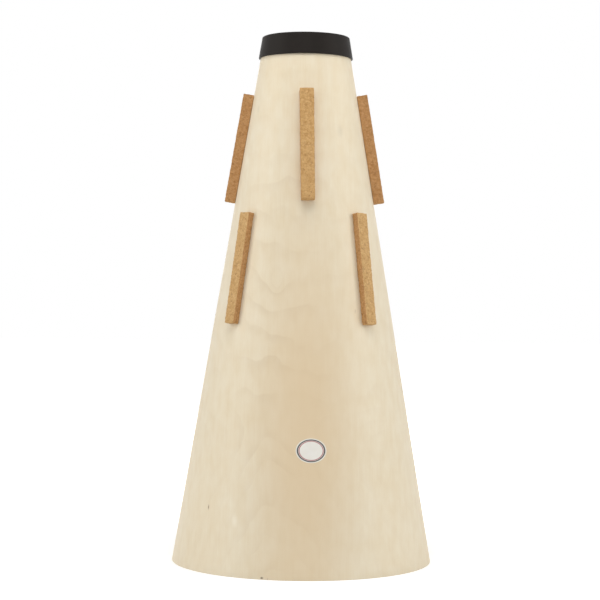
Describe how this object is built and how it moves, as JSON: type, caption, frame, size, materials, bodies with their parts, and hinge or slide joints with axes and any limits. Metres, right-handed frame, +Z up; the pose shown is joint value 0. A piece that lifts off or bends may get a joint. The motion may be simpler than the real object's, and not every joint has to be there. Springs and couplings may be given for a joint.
{
  "type": "tuba straight mute",
  "caption": "Straight mute for a tuba: a hollow plywood cone, closed at the wide end and open at the narrow end, with a rubber cap ring and cork strips that wedge it in the bell.",
  "frame": {"origin": "centre of the wide end's rim, on the surface that the mute stands on", "axes": "+Z up the cone's axis towards the narrow end; -Y towards the front, where the label is; +X to the right seen from the front"},
  "size_m": [0.3362, 0.3362, 0.68],
  "materials": {
    "birch_plywood": "thin rotary-cut birch plywood, sanded, clear matt lacquer",
    "seam_birch": "bare birch strip",
    "disc_plywood": "birch plywood, sanded, clear matt lacquer",
    "hoop_beech": "bare steam-bent beech",
    "black_rubber": "moulded black rubber, dull",
    "cork": "agglomerated cork, cut and unsealed",
    "label_paper": "smooth white sticker, plain"
  },
  "bodies": {
    "root": {"cone_shell": "birch_plywood", "seam_strip": "seam_birch", "base_disc": "disc_plywood", "base_hoop": "hoop_beech", "end_ring": "black_rubber", "upper_cork_front": "cork", "upper_cork_right": "cork", "upper_cork_back": "cork", "upper_cork_left": "cork", "lower_cork_front_left": "cork", "lower_cork_front_right": "cork", "lower_cork_back_right": "cork", "lower_cork_back_left": "cork", "label": "label_paper"}
  },
  "joints": []
}
